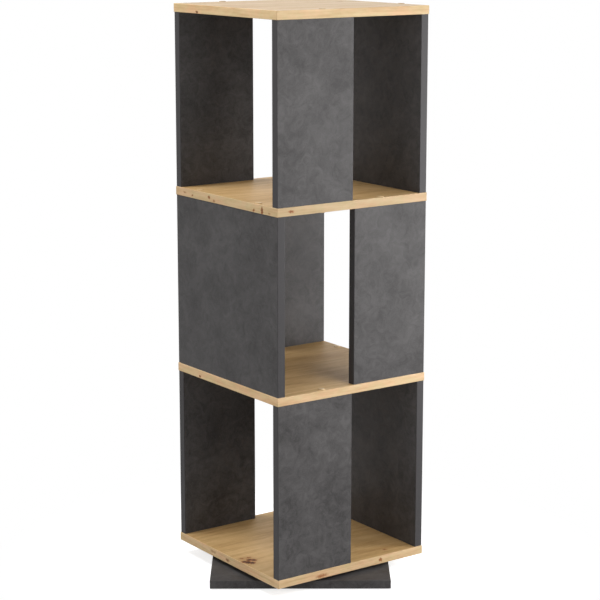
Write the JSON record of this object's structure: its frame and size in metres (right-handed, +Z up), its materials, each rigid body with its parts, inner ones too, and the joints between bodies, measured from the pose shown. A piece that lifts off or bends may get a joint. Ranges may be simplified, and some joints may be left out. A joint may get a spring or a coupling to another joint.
{
  "type": "revolving shelf unit",
  "caption": "Square tower of three open shelf tiers in light oak and graphite, the middle one turned half round, revolving on a ball turntable over a flat square base.",
  "frame": {"origin": "on the floor, on the turning axis, which is the middle of the base", "axes": "+Z up the turning axis. +X and +Y are square to the tower. The bottom and top tiers are open towards -X, the middle tier towards +X. The base stands turned by 35.2 degrees clockwise, seen from above, as in the picture"},
  "size_m": [0.4738, 0.4738, 1.0816],
  "materials": {
    "oak_board": "matt light oak decor with fine straight grain",
    "oak_edging": "satin light oak edging with small knots",
    "graphite_board": "matt graphite decor with a cloudy stone look",
    "graphite_edging": "matt graphite edging",
    "pressed_steel": "zinc-plated pressed sheet",
    "ball_steel": "polished bearing steel",
    "screw_steel": "zinc-plated",
    "nylon": "natural nylon",
    "beech": "turned beech with glue grooves left out",
    "cap_plastic": "satin oak-coloured cover cap",
    "glide_plastic": "hard black glide"
  },
  "bodies": {
    "base": {"base_board": "graphite_board", "base_edging": "graphite_edging", "floor_glides": "glide_plastic", "turntable_lower_plate": "pressed_steel", "turntable_rivet": "pressed_steel", "slip_washer": "nylon", "lower_plate_screws": "screw_steel"},
    "ball_carrier": {"ball_cage": "nylon", "bearing_balls": "ball_steel"},
    "tower": {"turntable_upper_plate": "pressed_steel", "upper_plate_screws": "screw_steel", "bottom_board": "oak_board", "bottom_board_edging": "oak_edging", "bottom_board_screws": "screw_steel", "lower_middle_board": "oak_board", "lower_middle_board_edging": "oak_edging", "lower_middle_board_screws": "screw_steel", "lower_middle_board_caps": "cap_plastic", "upper_middle_board": "oak_board", "upper_middle_board_edging": "oak_edging", "upper_middle_board_screws": "screw_steel", "upper_middle_board_caps": "cap_plastic", "top_board": "oak_board", "top_board_edging": "oak_edging", "top_board_screws": "screw_steel", "top_board_caps": "cap_plastic", "bottom_tier_back_panel": "graphite_board", "bottom_tier_back_panel_edging": "graphite_edging", "bottom_tier_left_panel": "graphite_board", "bottom_tier_left_panel_edging": "graphite_edging", "bottom_tier_right_panel": "graphite_board", "bottom_tier_right_panel_edging": "graphite_edging", "bottom_tier_dowels": "beech", "middle_tier_back_panel": "graphite_board", "middle_tier_back_panel_edging": "graphite_edging", "middle_tier_left_panel": "graphite_board", "middle_tier_left_panel_edging": "graphite_edging", "middle_tier_right_panel": "graphite_board", "middle_tier_right_panel_edging": "graphite_edging", "middle_tier_dowels": "beech", "top_tier_back_panel": "graphite_board", "top_tier_back_panel_edging": "graphite_edging", "top_tier_left_panel": "graphite_board", "top_tier_left_panel_edging": "graphite_edging", "top_tier_right_panel": "graphite_board", "top_tier_right_panel_edging": "graphite_edging", "top_tier_dowels": "beech"}
  },
  "joints": [
    {"name": "tower_spin", "type": "hinge", "parent": "base", "child": "tower", "pos_m": [0, 0, 0.022], "axis": [0, 0, 1], "continuous": true},
    {"name": "ball_cage_spin", "type": "hinge", "parent": "base", "child": "ball_carrier", "pos_m": [0, 0, 0.022], "axis": [0, 0, 1], "continuous": true}
  ],
  "couplings": [
    {"joint": "ball_cage_spin", "follows": "tower_spin", "ratio": 0.5}
  ]
}
